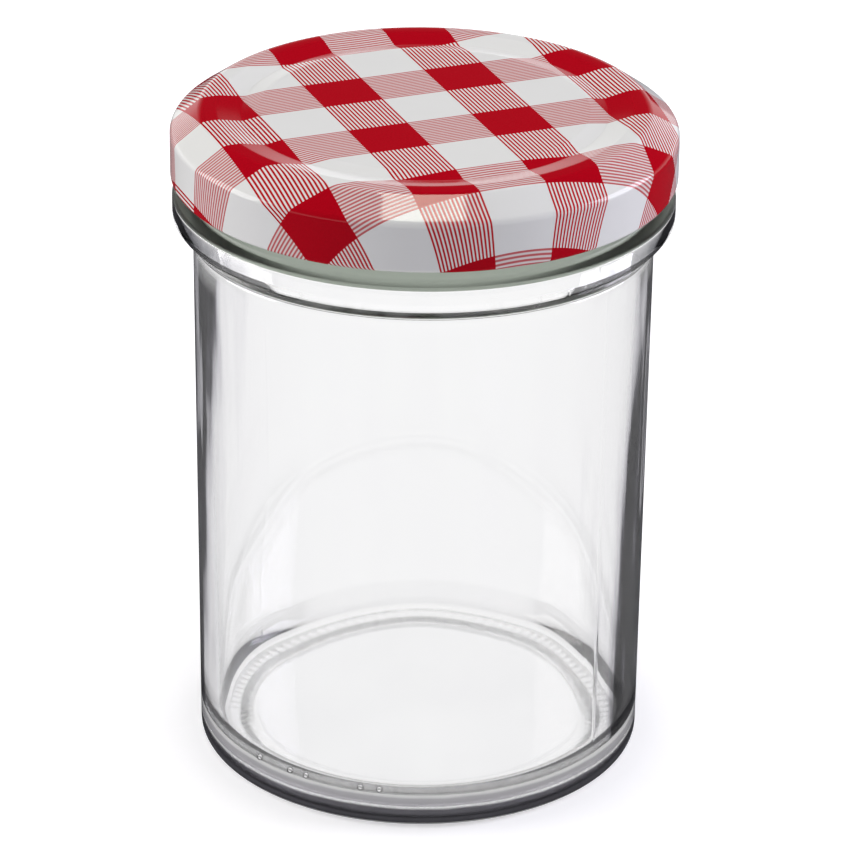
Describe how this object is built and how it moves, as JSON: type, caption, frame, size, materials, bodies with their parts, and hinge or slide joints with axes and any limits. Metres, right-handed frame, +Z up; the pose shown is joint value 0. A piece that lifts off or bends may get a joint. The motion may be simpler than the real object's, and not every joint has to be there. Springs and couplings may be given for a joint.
{
  "type": "preserving jar with lug cap",
  "caption": "Empty straight-walled preserving jar of clear glass with a thick base and a bead under its mouth, shut with a checked steel lug cap.",
  "frame": {"origin": "middle of the base, on the surface that the jar stands on", "axes": "+Z up along the jar's axis, towards the cap; the front faces -Y"},
  "size_m": [0.0854, 0.0854, 0.117],
  "materials": {
    "clear_glass": "clear, polished",
    "printed_steel": "gloss print and lacquer",
    "sealing_compound": "satin"
  },
  "bodies": {
    "root": {"jar_glass": "clear_glass", "lid_shell": "printed_steel", "lid_gasket": "sealing_compound"}
  },
  "joints": []
}
